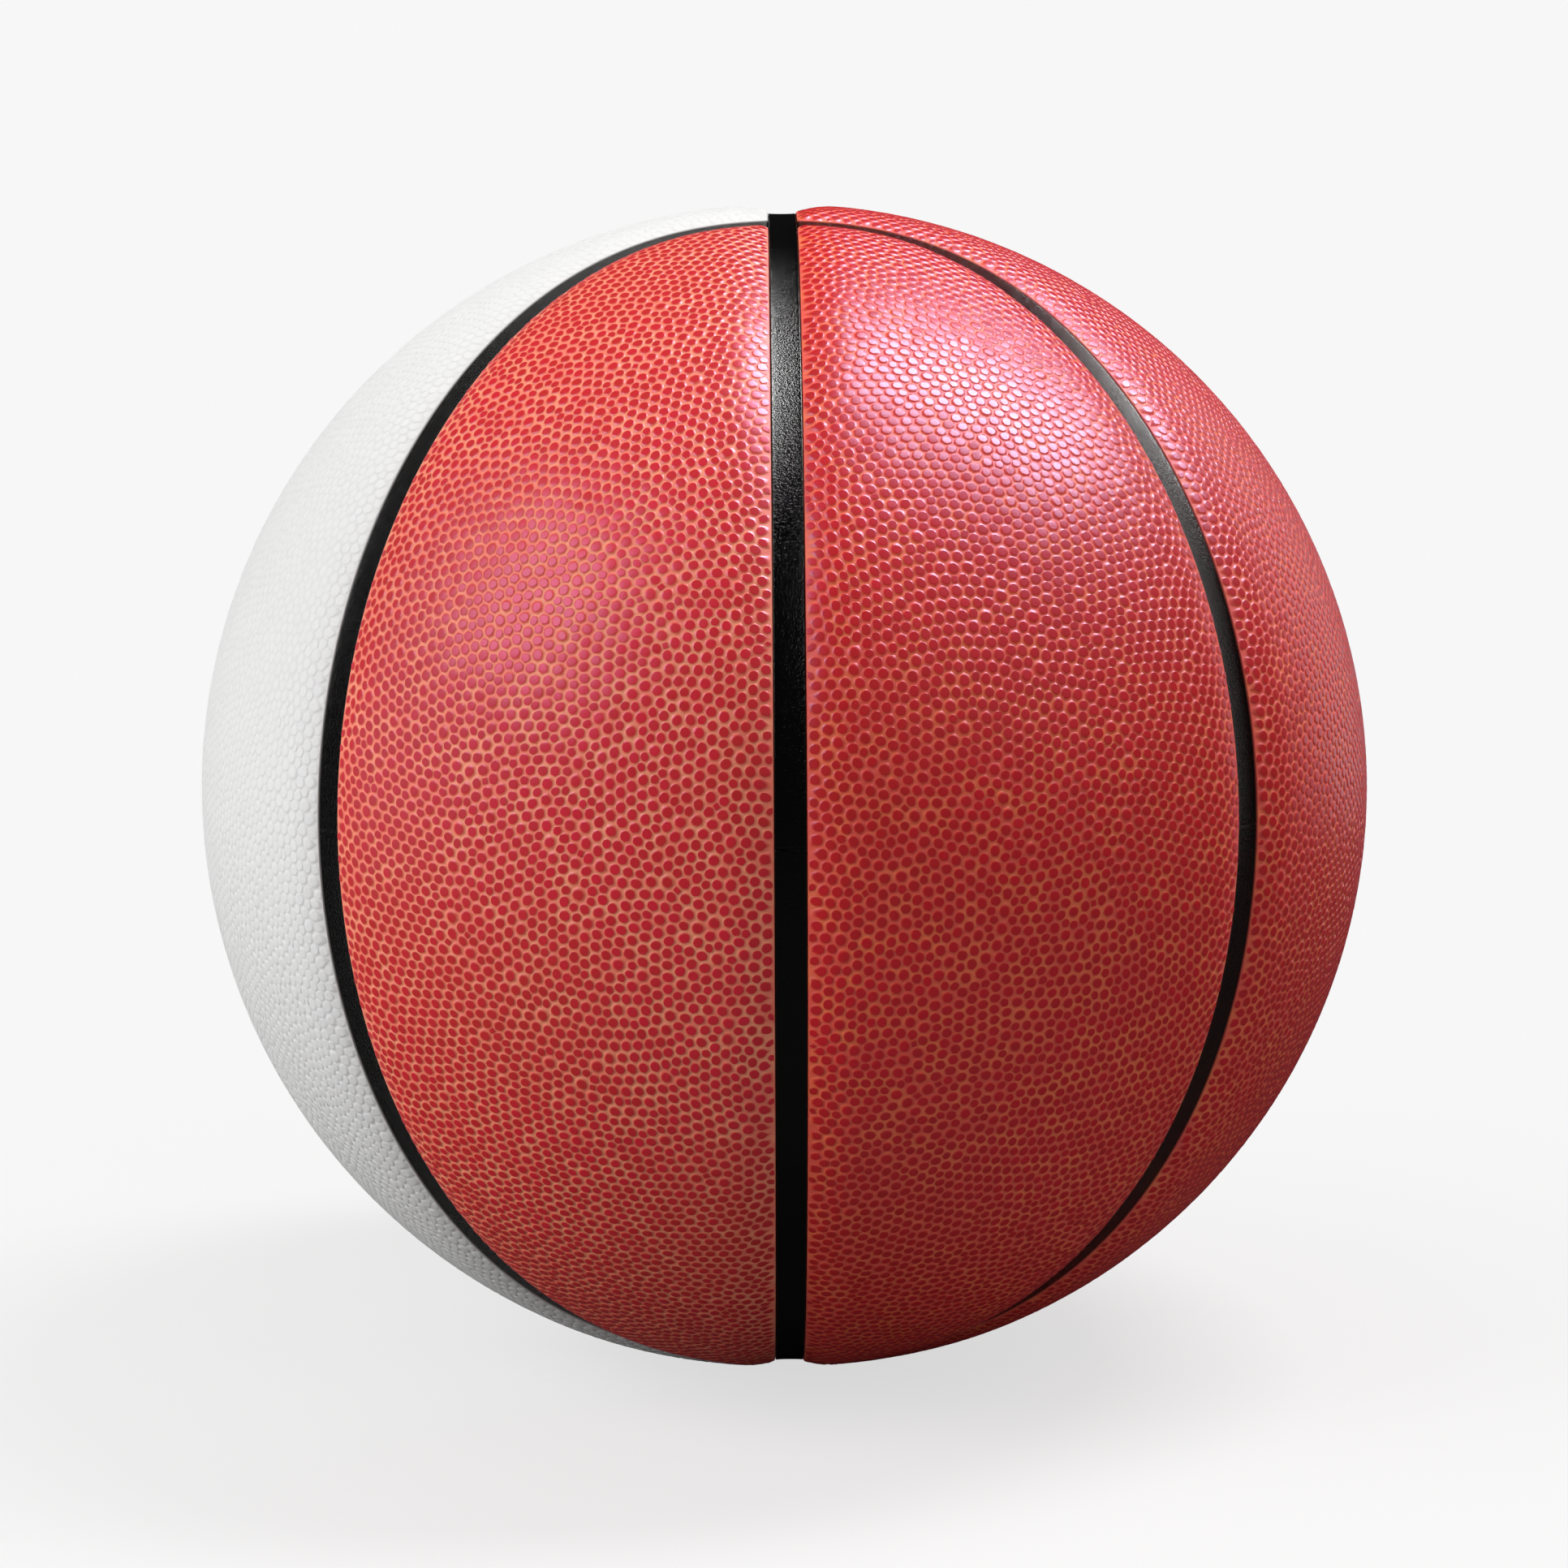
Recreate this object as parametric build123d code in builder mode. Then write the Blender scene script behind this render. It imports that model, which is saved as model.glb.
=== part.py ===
from build123d import *
from math import cos, pi, radians, sin, sqrt, tan
import os

# A basketball: an air bladder in a thread winding and a rubber carcass, covered by eight glued
# panels with black rubber strips in the channels between them. Millimetres and degrees.
# The origin is the ball's centre, +Z is up and the front oval faces -Y.

# Layers, from the outside in
ball_radius = 121.0
cover_thickness = 2.6
carcass_thickness = 1.0
winding_thickness = 0.5
bladder_thickness = 0.8
glue_line = 0.1

# Channels between the panels, and the strips that lie in them
channel_width = 5.8
channel_depth = 1.9
strip_dish = 0.2
strip_clearance = 0.1

# The oval channel. Its sides lie at an angle from the band, seen from the ball's centre, and its ends
# cross the band short of the ring, measured along the band. A fullness of 2 is a plain ellipse.
oval_side_angle = 45.0
neck_width = 34.85
oval_fullness = 3.0
oval_points = 48

# Corners of the cover panels, where channels cross
panel_corner_radius = 1.4

# Valve, on the axis that points to the back
plug_radius = 1.8
plug_length = 18.0
plug_clearance = 0.05
plug_recess = 0.3
plug_tip_taper = 0.8
needle_radius = 1.2
needle_depth = 13.0
needle_lead_in = 0.4
seat_neck_wall = 0.4
seat_sleeve_radius = 4.2
seat_sleeve_length = 15.0
seat_flange_radius = 12.0
seat_flange_thickness = 1.5
seat_clearance = 0.1

# Radii of the layers
cover_inside = ball_radius - cover_thickness
carcass_outside = cover_inside - glue_line
carcass_inside = carcass_outside - carcass_thickness
winding_outside = carcass_inside - glue_line
winding_inside = winding_outside - winding_thickness
bladder_outside = winding_inside - glue_line
bladder_inside = bladder_outside - bladder_thickness
flange_outside = bladder_inside - glue_line
flange_inside = flange_outside - seat_flange_thickness
strip_outside = ball_radius - channel_depth

# Half widths across a channel
half_channel = channel_width / 2
half_strip = half_channel - strip_clearance
half_splice = strip_clearance / 2
block_size = 2 * ball_radius

# Slopes of the rays to the oval's sides and ends, against the axis through its middle
side_slope = tan(radians(oval_side_angle))
end_slope = 1 / tan(neck_width / ball_radius)

# Half turns that carry a piece on the front right to its places round the ball
half_turn_angle = 180.0
FRONT_RIGHT = (0, 0, 0)
FRONT_LEFT = (0, half_turn_angle, 0)
BACK_LEFT = (0, 0, half_turn_angle)
BACK_RIGHT = (half_turn_angle, 0, 0)


def rise(radius, reach):
    """Height of a sphere of this radius over a point at this reach from its axis."""
    return sqrt(radius**2 - reach**2)


def oval_direction(turn):
    """Direction from the ball's centre to the middle of the front oval channel, one turn round it."""
    across = cos(turn)
    along = sin(turn)
    share = (abs(across) ** oval_fullness + abs(along) ** oval_fullness) ** (1 / oval_fullness)
    return Vector(side_slope * across / share, -1, end_slope * along / share).normalized()


def oval_outline(offset, depth):
    """Points where rays beside the oval channel cross the plane Y = -depth.

    The rays lie outside the channel's middle line by the offset, measured on the cover.
    """
    nudge = 0.001
    angle = offset / ball_radius
    points = []
    for count in range(oval_points):
        turn = pi + 2 * pi * count / oval_points
        middle = oval_direction(turn)
        ahead = oval_direction(turn + nudge) - oval_direction(turn - nudge)
        outward = ahead.cross(middle).normalized()
        ray = middle * cos(angle) + outward * sin(angle)
        points.append((ray.X * depth / -ray.Y, ray.Z * depth / -ray.Y))
    return points


def oval_cone(offset):
    """Solid cone of rays from the ball's centre, inside the front oval moved out by the offset."""
    near = ball_radius / end_slope / 2
    far = ball_radius + channel_width
    with BuildPart() as cone:
        for depth in (near, far):
            with BuildSketch(Plane.XZ.offset(depth)):
                with BuildLine():
                    Spline(*oval_outline(offset, depth), periodic=True)
                make_face()
        loft(ruled=True)
    return cone.part


def save(part, name):
    """Writes one piece under its own name."""
    part.label = name
    export_step(part, f"parts/{name}.step")


def save_turned(piece, turn, name):
    """Writes a copy of a piece that is carried to its place by a half turn."""
    with BuildPart() as placed:
        add(piece, rotation=turn)
    save(placed.part, name)


os.makedirs("parts", exist_ok=True)

# Bladder, winding and carcass: hollow spheres with a hole for the valve seat
layers = {
    "bladder": (bladder_outside, bladder_inside),
    "thread_winding": (winding_outside, winding_inside),
    "carcass": (carcass_outside, carcass_inside),
}
for name, (outside, inside) in layers.items():
    with BuildPart() as layer:
        Sphere(outside)
        Sphere(inside, mode=Mode.SUBTRACT)
        with BuildSketch(Plane.XZ):
            Circle(seat_sleeve_radius + seat_clearance)
        extrude(amount=-block_size, mode=Mode.SUBTRACT)
    save(layer.part, name)

# Valve seat: a sleeve with a domed flange under the bladder, and a neck in the channel
seat_bore = plug_radius + plug_clearance
seat_neck_radius = seat_bore + seat_neck_wall
sleeve_top = carcass_outside - glue_line
sleeve_end = flange_inside - seat_sleeve_length
flange_middle = (seat_sleeve_radius + seat_flange_radius) / 2
with BuildPart() as valve_seat:
    with BuildSketch(Plane.XY):
        with BuildLine():
            Polyline(
                (seat_sleeve_radius, rise(flange_outside, seat_sleeve_radius)),
                (seat_sleeve_radius, sleeve_top),
                (seat_neck_radius, sleeve_top),
                (seat_neck_radius, strip_outside),
                (seat_bore, strip_outside),
                (seat_bore, sleeve_end),
                (seat_sleeve_radius, sleeve_end),
                (seat_sleeve_radius, rise(flange_inside, seat_sleeve_radius)),
            )
            ThreePointArc(
                (seat_sleeve_radius, rise(flange_inside, seat_sleeve_radius)),
                (flange_middle, rise(flange_inside, flange_middle)),
                (seat_flange_radius, rise(flange_inside, seat_flange_radius)),
            )
            Line(
                (seat_flange_radius, rise(flange_inside, seat_flange_radius)),
                (seat_flange_radius, rise(flange_outside, seat_flange_radius)),
            )
            ThreePointArc(
                (seat_flange_radius, rise(flange_outside, seat_flange_radius)),
                (flange_middle, rise(flange_outside, flange_middle)),
                (seat_sleeve_radius, rise(flange_outside, seat_sleeve_radius)),
            )
        make_face()
    revolve(axis=Axis.Y)
save(valve_seat.part, "valve_seat")

# Valve plug: a straight insert with a blind bore for the needle and a tapered tip
plug_face = strip_outside - plug_recess
plug_end = plug_face - plug_length
with BuildPart() as valve_plug:
    with BuildSketch(Plane.XY):
        with BuildLine():
            Polyline(
                (0, plug_end),
                (plug_radius - plug_tip_taper, plug_end),
                (plug_radius, plug_end + plug_tip_taper),
                (plug_radius, plug_face),
                (needle_radius + needle_lead_in, plug_face),
                (needle_radius, plug_face - needle_lead_in),
                (needle_radius, plug_face - needle_depth),
                (0, plug_face - needle_depth),
                close=True,
            )
        make_face()
    revolve(axis=Axis.Y)
save(valve_plug.part, "valve_plug")

# Inner panels: the halves of an oval, cut apart by the band
inside_oval = oval_cone(-half_channel)
with BuildPart() as inner_panel:
    with Locations((half_channel, 0, 0)):
        Box(block_size, block_size, block_size, align=(Align.MIN, Align.MAX, Align.CENTER))
    Sphere(ball_radius, mode=Mode.INTERSECT)
    Sphere(cover_inside, mode=Mode.SUBTRACT)
    add(inside_oval, mode=Mode.INTERSECT)
    corners = inner_panel.edges().filter_by(lambda edge: edge.length < 2 * cover_thickness)
    fillet(corners, panel_corner_radius)

# Outer panels: the crescents between an oval, the band and the ring
outside_oval = oval_cone(half_channel)
with BuildPart() as outer_panel:
    with Locations((half_channel, -half_channel, 0)):
        Box(block_size, block_size, block_size, align=(Align.MIN, Align.MAX, Align.CENTER))
    Sphere(ball_radius, mode=Mode.INTERSECT)
    Sphere(cover_inside, mode=Mode.SUBTRACT)
    add(outside_oval, mode=Mode.SUBTRACT)
    corners = outer_panel.edges().filter_by(lambda edge: edge.length < 2 * cover_thickness)
    fillet(corners, panel_corner_radius)

panel_places = {
    "front_right": FRONT_RIGHT,
    "front_left": FRONT_LEFT,
    "back_left": BACK_LEFT,
    "back_right": BACK_RIGHT,
}
for place, turn in panel_places.items():
    save_turned(inner_panel.part, turn, f"inner_panel_{place}")
    save_turned(outer_panel.part, turn, f"outer_panel_{place}")

# Band and ring: the two full circles, in quarters that end at mid height. The band passes over
# both poles, where its quarters meet, and the ring's quarters stop beside it.
middle_dip = strip_outside - strip_dish
strip_edge = rise(strip_outside, half_strip)
strip_foot = rise(cover_inside, half_strip)
band_side = half_strip + strip_clearance


def strip_section(plane):
    """Section of a strip on top of the ball: a foot on the carcass and a dished face."""
    with BuildSketch(plane) as section:
        with BuildLine():
            ThreePointArc((-half_strip, strip_edge), (0, middle_dip), (half_strip, strip_edge))
            Line((half_strip, strip_edge), (half_strip, strip_foot))
            ThreePointArc((half_strip, strip_foot), (0, cover_inside), (-half_strip, strip_foot))
            Line((-half_strip, strip_foot), (-half_strip, strip_edge))
        make_face()
    return section.sketch


with BuildPart() as band_quarter:
    with Locations((0, -half_splice, half_splice)):
        Box(block_size, block_size, block_size, align=(Align.CENTER, Align.MAX, Align.MIN))
    revolve(strip_section(Plane.XZ), axis=Axis.X, mode=Mode.INTERSECT)

with BuildPart() as ring_quarter:
    with Locations((band_side, 0, half_splice)):
        Box(block_size, block_size, block_size, align=(Align.MIN, Align.CENTER, Align.MIN))
    revolve(strip_section(Plane.YZ), axis=Axis.Y, mode=Mode.INTERSECT)

band_places = {
    "front_upper": FRONT_RIGHT,
    "front_lower": FRONT_LEFT,
    "back_upper": BACK_LEFT,
    "back_lower": BACK_RIGHT,
}
for place, turn in band_places.items():
    with BuildPart() as band_strip:
        add(band_quarter.part, rotation=turn)
        with BuildSketch(Plane.XZ):
            Circle(seat_neck_radius + seat_clearance)
        extrude(amount=-block_size, mode=Mode.SUBTRACT)
    save(band_strip.part, f"band_strip_{place}")

ring_places = {
    "right_upper": FRONT_RIGHT,
    "left_lower": FRONT_LEFT,
    "left_upper": BACK_LEFT,
    "right_lower": BACK_RIGHT,
}
for place, turn in ring_places.items():
    save_turned(ring_quarter.part, turn, f"ring_strip_{place}")

# Oval strips: four quarters to an oval, which meet at mid height and stop beside the band
outside_strip = oval_cone(half_strip)
inside_strip = oval_cone(-half_strip)
oval_places = {
    Align.MIN: ("front_right_upper", "front_left_lower", "back_left_upper", "back_right_lower"),
    Align.MAX: ("front_right_lower", "front_left_upper", "back_left_lower", "back_right_upper"),
}
for upright, places in oval_places.items():
    splice = half_splice if upright == Align.MIN else -half_splice
    with BuildPart() as oval_quarter:
        with Locations((band_side, 0, splice)):
            Box(block_size, block_size, block_size, align=(Align.MIN, Align.MAX, upright))
        Sphere(strip_outside, mode=Mode.INTERSECT)
        Sphere(cover_inside, mode=Mode.SUBTRACT)
        add(outside_strip, mode=Mode.INTERSECT)
        add(inside_strip, mode=Mode.SUBTRACT)
    for place, turn in zip(places, panel_places.values()):
        save_turned(oval_quarter.part, turn, f"oval_strip_{place}")
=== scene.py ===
# %% [markdown]
# # A pebbled basketball
# The ball is eight cover panels glued round a rubber carcass, with black rubber strips in the channels
# between them. The CAD parts are the frame: they hold the sizes, and this file dresses them. Panels and
# strips get new, finer surfaces in the same places, and the layers inside keep their CAD meshes.

# %% Frame
import bpy
import numpy as np
from mathutils import Matrix, Vector
from mathutils.geometry import delaunay_2d_cdt


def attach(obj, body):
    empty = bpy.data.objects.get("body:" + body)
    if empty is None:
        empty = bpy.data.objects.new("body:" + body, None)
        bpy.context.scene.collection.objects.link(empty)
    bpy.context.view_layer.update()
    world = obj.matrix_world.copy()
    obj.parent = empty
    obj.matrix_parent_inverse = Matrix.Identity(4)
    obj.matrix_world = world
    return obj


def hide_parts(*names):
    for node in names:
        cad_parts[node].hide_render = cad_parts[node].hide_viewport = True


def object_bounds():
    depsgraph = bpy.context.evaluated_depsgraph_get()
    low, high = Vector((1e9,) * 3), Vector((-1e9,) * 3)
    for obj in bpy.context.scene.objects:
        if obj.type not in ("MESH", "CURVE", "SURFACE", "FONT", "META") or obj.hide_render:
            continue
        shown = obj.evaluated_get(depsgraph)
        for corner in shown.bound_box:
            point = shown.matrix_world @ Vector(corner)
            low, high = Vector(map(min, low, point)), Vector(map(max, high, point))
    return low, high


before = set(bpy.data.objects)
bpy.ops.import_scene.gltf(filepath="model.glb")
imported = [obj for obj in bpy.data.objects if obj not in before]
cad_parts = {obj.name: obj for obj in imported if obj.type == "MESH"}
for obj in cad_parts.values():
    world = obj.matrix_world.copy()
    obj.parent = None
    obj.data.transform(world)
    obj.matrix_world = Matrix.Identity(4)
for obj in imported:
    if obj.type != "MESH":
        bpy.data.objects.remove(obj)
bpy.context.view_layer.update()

# %% [markdown]
# ## The ball's own measures
# All shapes below are worked out in millimetres on a ball round the origin, with +Z up and the front
# oval facing -Y, and become metres when they are put into a mesh. These values are the CAD part's own.

# %% Measures
BALL_RADIUS = 121.0
COVER_INSIDE = 118.4
CHANNEL_HALF = 2.9
STRIP_HALF = 2.8
STRIP_DEPTH = 1.9
SPLICE_HALF = 0.05
VALVE_NOTCH = 2.35
CORNER_RADIUS = 1.4
OVAL_SIDE = np.tan(np.radians(45.0))
OVAL_END = 1 / np.tan(34.85 / BALL_RADIUS)
OVAL_FULLNESS = 3.0
METRES = 0.001


def unit(vectors):
    """Vectors scaled to length one."""
    return vectors / np.linalg.norm(vectors, axis=-1, keepdims=True)


print("Distance round the ball:", round(2 * np.pi * BALL_RADIUS), "mm")

# %% [markdown]
# ## Distances from the channels
# A panel's rolled edge, its cut pebbles and its outline all depend on how far a point lies from the
# nearest channel. The band and the ring are flat cuts, so their distance is a coordinate. The oval is
# the curve where the cubes of the slopes across and along add up to one, and its distance is that sum's
# excess divided by how fast it changes over the surface.

# %% Distances
LEAST_STEEP = 0.02
NEAR_OVAL = 0.3


def oval_excess(points):
    """Distance from the oval's middle line in radii, roughly, and the way uphill:
    |x / side|^n + |z / end|^n - |y|^n, divided by the length of its slope along the surface."""
    scale = np.array([1 / OVAL_SIDE, 1.0, 1 / OVAL_END])
    sign = np.array([1.0, -1.0, 1.0])
    part = np.abs(points) * scale
    excess = (sign * part**OVAL_FULLNESS).sum(axis=1)
    slope = OVAL_FULLNESS * sign * scale * part ** (OVAL_FULLNESS - 1) * np.sign(points)
    slope -= points * (OVAL_FULLNESS * excess)[:, None]
    steep = np.maximum(np.linalg.norm(slope, axis=1), LEAST_STEEP)
    return excess / steep, slope / steep[:, None]


def oval_distance(points):
    """Distance in mm from the oval's middle line, negative inside it: the estimate, and a second one
    taken where the first one leads."""
    first, uphill = oval_excess(points)
    near = np.clip(first, -NEAR_OVAL, NEAR_OVAL)
    second, _ = oval_excess(unit(points - uphill * near[:, None]))
    return BALL_RADIUS * (first + np.where(np.abs(first) < NEAR_OVAL, second, 0))


def rounded_least(first, second, radius=CORNER_RADIUS):
    """The lesser of two distances inside a corner, with the corner rounded: where both are below the
    radius, the radius less the length of the two shortfalls."""
    short = np.hypot(np.maximum(radius - first, 0), np.maximum(radius - second, 0))
    both = (first < radius) & (second < radius)
    return np.where(both, radius - short, np.minimum(first, second))


def inner_edge(points):
    """Distance in mm from the edge of the front right inner panel, positive on the panel."""
    band = points[:, 0] * BALL_RADIUS - CHANNEL_HALF
    oval = -oval_distance(points) - CHANNEL_HALF
    return rounded_least(band, oval)


def outer_edge(points):
    """Distance in mm from the edge of the front right outer panel, positive on the panel."""
    band = points[:, 0] * BALL_RADIUS - CHANNEL_HALF
    ring = -points[:, 1] * BALL_RADIUS - CHANNEL_HALF
    oval = oval_distance(points) - CHANNEL_HALF
    return rounded_least(rounded_least(band, ring), oval)


def oval_line(turn, offset):
    """Directions beside the front oval's middle line, moved outwards by an offset in mm. The line's slopes
    across and along are the cosine and sine of the turn, divided by the root of their powers' sum."""
    def middle(at):
        across = np.cos(at)
        along = np.sin(at)
        share = (np.abs(across) ** OVAL_FULLNESS + np.abs(along) ** OVAL_FULLNESS) ** (1 / OVAL_FULLNESS)
        sides = [OVAL_SIDE * across / share, -np.ones_like(at), OVAL_END * along / share]
        return unit(np.stack(sides, -1))

    nudge = 0.001
    ahead = middle(turn + nudge) - middle(turn - nudge)
    outward = unit(np.cross(ahead, middle(turn)))
    angle = np.asarray(offset)[..., None] / BALL_RADIUS
    return middle(turn) * np.cos(angle) + outward * np.sin(angle)


beside = oval_distance(oval_line(np.linspace(-1.4, 1.4, 200), CHANNEL_HALF))
print("Oval distance at", CHANNEL_HALF, "mm reads", beside.min().round(3), "to", beside.max().round(3))

# %% [markdown]
# ## The panel's outline
# The outline is walked along the channels' sides, then every point is drawn onto the wanted distance
# from the edge, which rounds the corners, and the loop is spaced evenly.

# %% Outlines
SETTLING_STEPS = 6
SETTLING_PROBE = 1e-4
LEAST_SLOPE = 0.25
WALK_POINTS = 4000


def edge_slope(edge, points, step):
    """Slope of the edge distance along the surface, in mm per mm, by differences over a small step."""
    grows = [edge(points + step * axis) - edge(points - step * axis) for axis in np.eye(3)]
    slope = np.stack(grows, -1) / (2 * step * BALL_RADIUS)
    return slope - points * (slope * points).sum(axis=1, keepdims=True)


def settle(points, edge, wanted):
    """Moves directions until their distance from the edge is the wanted one: each step goes up the slope
    by the missing distance divided by it."""
    for _ in range(SETTLING_STEPS):
        slope = edge_slope(edge, points, SETTLING_PROBE)
        pull = (wanted - edge(points)) / np.maximum((slope**2).sum(axis=1), LEAST_SLOPE)
        points = unit(points + slope * (pull / BALL_RADIUS)[:, None])
    return points


def evenly(points, spacing):
    """The same closed loop with points at an even spacing in mm."""
    closed = np.vstack([points, points[:1]])
    length = np.r_[0, np.cumsum(np.linalg.norm(np.diff(closed, axis=0), axis=1))]
    count = int(round(length[-1] * BALL_RADIUS / spacing))
    at = np.arange(count) * length[-1] / count
    return unit(np.stack([np.interp(at, length, closed[:, axis]) for axis in range(3)], -1))


def band_path(angle, offset):
    """Directions beside the band's middle line, by the angle up from the front and an offset in mm."""
    side = np.broadcast_to(offset / BALL_RADIUS, angle.shape)
    reach = np.sqrt(1 - side**2)
    return np.stack([side, -reach * np.cos(angle), reach * np.sin(angle)], -1)


def ring_path(angle, offset):
    """Directions beside the ring's middle line, by the angle up from the right and an offset in mm."""
    side = np.broadcast_to(offset / BALL_RADIUS, angle.shape)
    reach = np.sqrt(1 - side**2)
    return np.stack([reach * np.cos(angle), side, reach * np.sin(angle)], -1)


def keep_near(points, edge, slack=0.8):
    """Those points of a walk that belong to the panel's outline."""
    return points[edge(points) > -slack]


fine = np.linspace(-np.pi / 2, np.pi / 2, WALK_POINTS)
inner_walk = np.vstack([
    keep_near(oval_line(fine, -CHANNEL_HALF), inner_edge),
    keep_near(band_path(fine[::-1], CHANNEL_HALF), inner_edge),
])
outer_walk = np.vstack([
    keep_near(oval_line(fine[::-1], CHANNEL_HALF), outer_edge),
    keep_near(band_path(fine[fine < 0][::-1], CHANNEL_HALF), outer_edge),
    keep_near(ring_path(fine, -CHANNEL_HALF), outer_edge),
    keep_near(band_path(fine[fine > 0][::-1], CHANNEL_HALF), outer_edge),
])
print("Outline walks:", len(inner_walk), "and", len(outer_walk), "points")

# %% [markdown]
# ## Pebbles
# The cover is pressed with raised round pebbles about 1.7 mm wide, 2.2 mm apart, in rows that wander
# and break. Painting them as a bump texture would leave the outline smooth, so they are real geometry.
# A golden spiral spreads points evenly, a random push breaks the pattern, and a few easing steps move
# each point to the middle of its neighbours, as the grains of a real embossing plate are spaced.

# %% Pebble places
PEBBLE_AREA = 4.65
PEBBLE_PITCH = np.sqrt(PEBBLE_AREA * 2 / np.sqrt(3))
EASING_STEPS = 14
PUSH = 0.15
MARGIN = 3 * PEBBLE_PITCH
FAR_SIDE = -0.3


def flat_map(points, centre):
    """Stereographic map about a centre. It keeps circles, so neighbours on the plane are neighbours on
    the ball. Each direction's two cross components are divided by one plus its component to the centre."""
    up = np.array([0.0, 0.0, 1.0])
    right = unit(np.cross(up, centre))
    share = 2 / (1 + points @ centre)
    return np.stack([points @ right * share, points @ up * share], -1)


def triangles_of(points, centre, loop=0):
    """Triangles between neighbouring points, inside the loop that the first points make, if any."""
    places = list(map(Vector, flat_map(points, centre)))
    around = [(at, (at + 1) % loop) for at in range(loop)]
    made = delaunay_2d_cdt(places, around, [], 1 if loop else 0, 1e-7)
    assert len(made[0]) == len(points)
    return np.array(made[2])


def pebble_places(edge, centre, seed):
    """Directions of the pebbles' middles on and just round a panel. On the spiral, equal steps along the
    axis cut equal areas, and each step turns by the golden angle."""
    count = int(round(4 * np.pi * BALL_RADIUS**2 / PEBBLE_AREA))
    index = np.arange(count) + 0.5
    height = 1 - 2 * index / count
    turn = np.pi * (1 + np.sqrt(5)) * index
    level = np.sqrt(1 - height**2)
    spiral = np.stack([level * np.cos(turn), height, level * np.sin(turn)], -1)
    push = np.random.default_rng(seed).normal(size=spiral.shape) * PUSH * PEBBLE_PITCH / BALL_RADIUS
    places = unit(spiral + push)
    places = places[(edge(places) > -MARGIN) & (places @ centre > FAR_SIDE)]
    for _ in range(EASING_STEPS):
        tri = triangles_of(places, centre)
        corner = places[tri]
        area = np.linalg.norm(np.cross(corner[:, 1] - corner[:, 0], corner[:, 2] - corner[:, 0]), axis=1)
        pull = np.repeat(area[:, None] * corner.mean(axis=1), 3, axis=0)
        moved = np.stack([np.bincount(tri.ravel(), pull[:, axis], len(places)) for axis in range(3)], -1)
        free = edge(places) > PEBBLE_PITCH - MARGIN
        places[free] = unit(moved[free])
    return places


INNER_CENTRE = unit(np.array([0.38, -0.92, 0.0]))
OUTER_CENTRE = unit(np.array([0.90, -0.44, 0.0]))
inner_places = pebble_places(inner_edge, INNER_CENTRE, 11)
outer_places = pebble_places(outer_edge, OUTER_CENTRE, 12)
print("Pebbles on an inner panel:", (inner_edge(inner_places) > 0).sum())
print("Pebbles on an outer panel:", (outer_edge(outer_places) > 0).sum())

# %% [markdown]
# ## Height of the cover
# A real panel isn't a plain piece of the sphere. It is skived thin at its edges and pulled down into
# the channel, so a band 6 to 7 mm wide along each edge slopes down by about a sixth, and the cut edge
# itself is rolled. This slope is what catches the narrow highlights beside the strips.

# %% Height
SLOPE_WIDTH = 6.6
SLOPE = 0.17
SLOPE_SOFTNESS = 1.1
CURL_WIDTH = 5.0
CURL = 0.015
ROLL_WIDTH = 0.3
TOP_TILT = 0.02
TOP_MARGIN = 0.03


def cover_height(distance):
    """Height over the ball's radius, in mm, at a distance from the panel's edge: zero over the panel,
    a straight slope near the edge that steepens, a soft bend, and a quarter round at the very edge."""
    bend = (SLOPE_WIDTH - distance) / SLOPE_SOFTNESS
    slope = SLOPE * SLOPE_SOFTNESS * np.logaddexp(0, bend)
    curl = CURL * np.maximum(CURL_WIDTH - distance, 0) ** 2
    into = np.clip(1 - distance / ROLL_WIDTH, 0, 1)
    return -slope - curl - ROLL_WIDTH * (1 - np.sqrt(1 - into**2)) - TOP_MARGIN


print("Edge height:", cover_height(np.array([0.0, 0.5, 3, 6.6, 12])).round(2))

# %% [markdown]
# ## Which pebbles are neighbours
# A panel is one mesh. The pebbles' middles, and points along the rim, make triangles with their neighbours.
# Each triangle has three half sides, from corner to corner, and the one that runs the other way along the
# same line belongs to the triangle beside it. With that twin, all that lies round a pebble is looked up in
# whole arrays.

# %% Half sides


def half_sides(tri, count):
    """For each half side of each triangle: its first and second point, its twin in the triangle beside it
    (-1 where there is none), and the half sides after and before it in its own triangle."""
    start = tri.ravel()
    ahead = np.roll(tri, -1, axis=1).ravel()
    key = start * count + ahead
    order = np.argsort(key)
    back = ahead * count + start
    slot = np.minimum(np.searchsorted(key[order], back), len(key) - 1)
    twin = np.where(key[order][slot] == back, order[slot], -1)
    number = np.arange(len(start))
    following = number - number % 3 + (number + 1) % 3
    before = number - number % 3 + (number + 2) % 3
    return start, ahead, twin, following, before


print("Twins in two triangles:", half_sides(np.array([[0, 1, 2], [2, 1, 3]]), 4)[2])

# %% [markdown]
# ## A pebble's foot and top
# Round each middle, the triangles' centres give the corners of the pebble's foot. The flat top lies inside
# that, with twice as many corners, so that it looks round. Real tops aren't all alike: each has a size of
# its own, is a little longer one way, and has a slightly uneven edge.

# %% Pebble outlines
FOOT_SHARE = 0.86
RIM_FOOT_SHARE = 1.36
TOP_RADIUS = 0.84
TOP_SIZES = (0.94, 1.04)
LEAST_TOP = 0.86
CELL_SHARE = 0.98
FOLLOW_CELL = 0.3
ROUNDING = 0.94
SIDE_TO_CORNER = 0.87
STRETCH = 0.07
UNEVEN_EDGE = 0.03
CORNER_LIMIT = 0.9
SIDE_LIMIT = 0.95
TINY = 1e-9


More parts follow.
